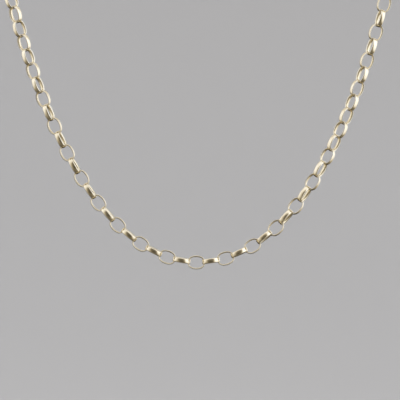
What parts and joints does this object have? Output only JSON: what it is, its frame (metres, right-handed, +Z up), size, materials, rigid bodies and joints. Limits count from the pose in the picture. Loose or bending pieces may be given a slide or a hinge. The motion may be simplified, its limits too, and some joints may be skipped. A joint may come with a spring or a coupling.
{
  "type": "rolo chain necklace",
  "caption": "Closed necklace of equal oval rolo links of flat domed wire, each turned a quarter turn to the next, hanging as worn and fastened at the nape by a round clasp and jump rings.",
  "frame": {"origin": "middle of the neck opening, level with the chain at the nape", "axes": "+Z up the neck, +X to the right as seen from the front, the front hangs at -Y and the nape is at +Y"},
  "size_m": [0.1038, 0.1082, 0.1352],
  "materials": {
    "gold": "polished pale yellow gold"
  },
  "bodies": {
    "root": {"chain_left": "gold", "chain_right": "gold", "clasp": "gold", "clasp_jump_ring": "gold", "end_jump_ring": "gold"}
  },
  "joints": []
}
